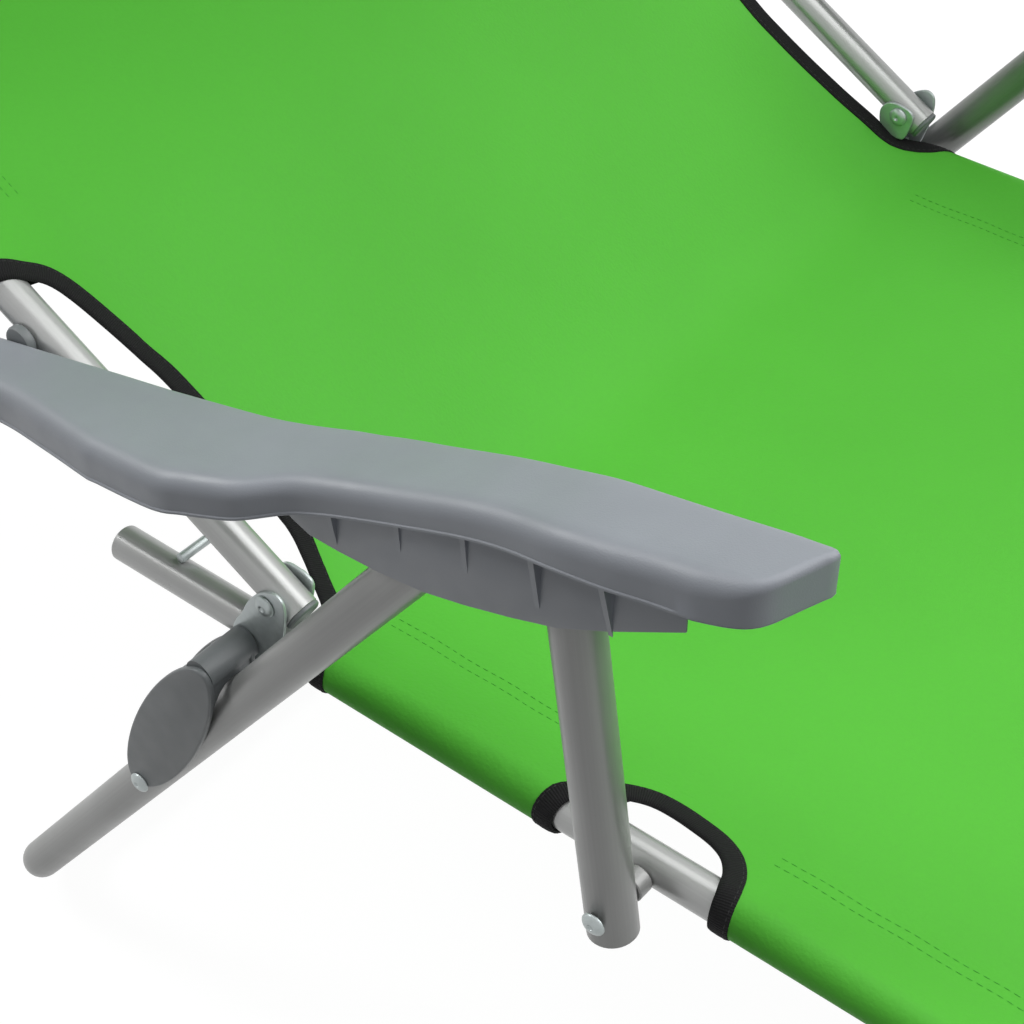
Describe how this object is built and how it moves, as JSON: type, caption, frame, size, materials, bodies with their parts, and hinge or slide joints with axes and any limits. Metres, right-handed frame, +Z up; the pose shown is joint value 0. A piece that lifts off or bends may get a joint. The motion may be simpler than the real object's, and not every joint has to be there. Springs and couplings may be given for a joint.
{
  "type": "sun lounger with canopy",
  "caption": "Folding sun lounger: silver tube frame with a green sling, grey armrests that carry the reclining back, and a tilting canopy over the head",
  "frame": {"origin": "On the ground, in the middle of the length and width of the lounger as it stands ready to use", "axes": "+X towards the feet, +Y towards the sitter's left, +Z up"},
  "size_m": [1.7474, 0.6732, 0.9367],
  "materials": {
    "silver_tube": "satin silver coat on steel tube",
    "leg_tube": "satin grey coat on steel tube",
    "zinc": "bright zinc plate",
    "grey_plastic": "fine-grained moulded plastic",
    "dark_plastic": "smooth moulded plastic",
    "green_cloth": "coated woven cloth with a fine grain"
  },
  "bodies": {
    "seat_frame": {"seat_rail_left": "silver_tube", "seat_rail_right": "silver_tube", "rail_plug_left": "silver_tube", "rail_plug_right": "silver_tube", "foot_bow": "silver_tube", "rear_cross_rod": "zinc", "hinge_bracket_left": "zinc", "hinge_bracket_right": "zinc", "hinge_pin_left": "zinc", "hinge_pin_right": "zinc", "jaw_pin_left": "zinc", "jaw_pin_right": "zinc", "post_bolt_left": "zinc", "post_bolt_right": "zinc", "post_spacer_left": "grey_plastic", "post_spacer_right": "grey_plastic", "front_leg_bracket_left": "zinc", "front_leg_bracket_right": "zinc", "front_leg_pin_left": "zinc", "front_leg_pin_right": "zinc", "sling_seat": "green_cloth"},
    "back_frame": {"back_rail_left": "silver_tube", "back_rail_right": "silver_tube", "back_plug_left": "dark_plastic", "back_plug_right": "dark_plastic", "head_bow": "silver_tube", "arm_stub_left": "grey_plastic", "arm_stub_right": "grey_plastic", "canopy_hub_left": "dark_plastic", "canopy_hub_right": "dark_plastic", "sling_back": "green_cloth"},
    "posts": {"post_left": "leg_tube", "post_right": "leg_tube", "post_plug_left": "leg_tube", "post_plug_right": "leg_tube"},
    "arms": {"armrest_left": "grey_plastic", "armrest_right": "grey_plastic", "arm_post_pin_left": "zinc", "arm_post_pin_right": "zinc", "arm_leg_pin_left": "zinc", "arm_leg_pin_right": "zinc"},
    "rear_leg": {"rear_leg_left": "leg_tube", "rear_leg_right": "leg_tube", "rear_leg_bar": "leg_tube", "rear_leg_pad_left": "dark_plastic", "rear_leg_pad_right": "dark_plastic"},
    "jaws": {"jaw_left": "dark_plastic", "jaw_right": "dark_plastic", "jaw_rivet_left": "zinc", "jaw_rivet_right": "zinc"},
    "front_leg": {"front_leg_left": "leg_tube", "front_leg_right": "leg_tube", "front_leg_bar": "leg_tube", "front_leg_pad_left": "dark_plastic", "front_leg_pad_right": "dark_plastic"},
    "canopy": {"canopy_arm_left": "leg_tube", "canopy_arm_right": "leg_tube", "canopy_bow": "leg_tube", "canopy_rear_bar": "leg_tube", "canopy_cloth": "green_cloth"}
  },
  "joints": [
    {"name": "back_fold", "type": "hinge", "parent": "seat_frame", "child": "back_frame", "pos_m": [-0.15812, 0, 0.339], "axis": [0, 1, 0], "range_deg": [0, 70]},
    {"name": "post_swing", "type": "hinge", "parent": "seat_frame", "child": "posts", "pos_m": [0.04688, 0, 0.309], "axis": [0, 1, 0], "range_deg": [0, 62.5]},
    {"name": "arm_swing", "type": "hinge", "parent": "posts", "child": "arms", "pos_m": [0.02237, 0, 0.475], "axis": [0, 1, 0], "range_deg": [-36, 0]},
    {"name": "rear_leg_swing", "type": "hinge", "parent": "arms", "child": "rear_leg", "pos_m": [-0.04054, 0, 0.453], "axis": [0, 1, 0], "range_deg": [-15, 0]},
    {"name": "jaw_swing", "type": "hinge", "parent": "seat_frame", "child": "jaws", "pos_m": [-0.17294, 0, 0.309], "axis": [0, 1, 0], "range_deg": [-58, 0]},
    {"name": "front_leg_fold", "type": "hinge", "parent": "seat_frame", "child": "front_leg", "pos_m": [0.26188, 0, 0.28102], "axis": [0, 1, 0], "range_deg": [0, 105]},
    {"name": "canopy_tilt", "type": "hinge", "parent": "back_frame", "child": "canopy", "pos_m": [-0.7157, 0, 0.65318], "axis": [0, 1, 0], "range_deg": [-55, 30]}
  ],
  "couplings": [
    {"joint": "post_swing", "follows": "back_fold", "ratio": 0.8867},
    {"joint": "arm_swing", "follows": "back_fold", "ratio": -0.5106},
    {"joint": "rear_leg_swing", "follows": "back_fold", "ratio": -0.2113},
    {"joint": "jaw_swing", "follows": "back_fold", "ratio": -0.823}
  ]
}
